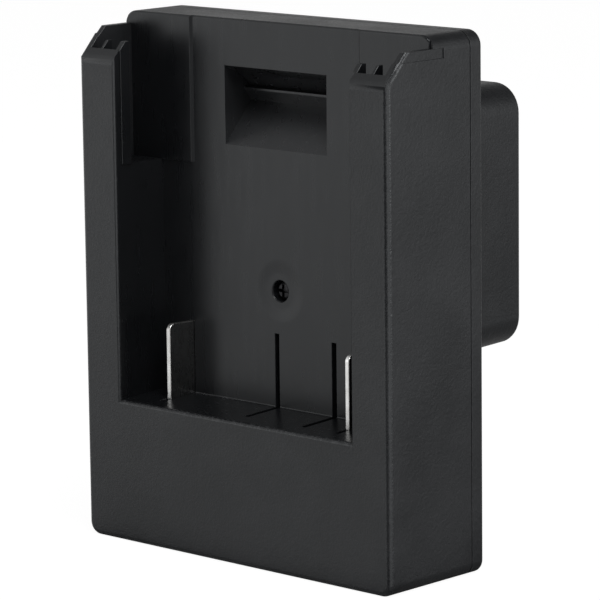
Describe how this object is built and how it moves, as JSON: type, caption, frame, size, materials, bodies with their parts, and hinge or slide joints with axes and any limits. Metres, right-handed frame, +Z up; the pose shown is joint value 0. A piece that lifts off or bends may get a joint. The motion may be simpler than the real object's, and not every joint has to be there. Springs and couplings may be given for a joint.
{
  "type": "tool battery adapter",
  "caption": "Black moulded adapter with a railed bay, contact blades and latch recess for a slide-on tool battery, and a drafted plug-in box with output contacts behind.",
  "frame": {"origin": "centre of the flat base of the main body, under the battery bay, without the rear box", "axes": "+X to the right seen from the front, +Y from the open bay towards the rear box, +Z up, the way the battery pack slides out"},
  "size_m": [0.0864, 0.0505, 0.1113],
  "materials": {
    "housing_plastic": "black moulded plastic, fine spark-eroded grain outside, satin inside the bay",
    "carrier_plastic": "black moulded insulating plastic",
    "plated_contact": "nickel-plated brass, bright brushed",
    "screw_steel": "zinc-plated steel",
    "board_laminate": "green solder mask on glass-fibre laminate",
    "red_insulation": "soft satin insulation",
    "black_insulation": "soft satin insulation",
    "fuse_ceramic": "glazed ceramic tube",
    "capacitor_sleeve": "shrink sleeve",
    "chip_plastic": "moulded epoxy"
  },
  "bodies": {
    "root": {"front_housing": "housing_plastic", "back_cover": "housing_plastic", "contact_carrier": "carrier_plastic", "positive_blade": "plated_contact", "negative_blade": "plated_contact", "carrier_screw": "screw_steel", "cover_screws": "screw_steel", "circuit_board": "board_laminate", "board_screws": "screw_steel", "positive_lead": "red_insulation", "negative_lead": "black_insulation", "fuse": "fuse_ceramic", "fuse_clips": "plated_contact", "filter_capacitor": "capacitor_sleeve", "cutoff_transistor": "chip_plastic", "control_chip": "chip_plastic", "sense_resistor": "chip_plastic", "protection_diode": "chip_plastic", "output_socket": "carrier_plastic", "positive_output_contact": "plated_contact", "negative_output_contact": "plated_contact"}
  },
  "joints": []
}
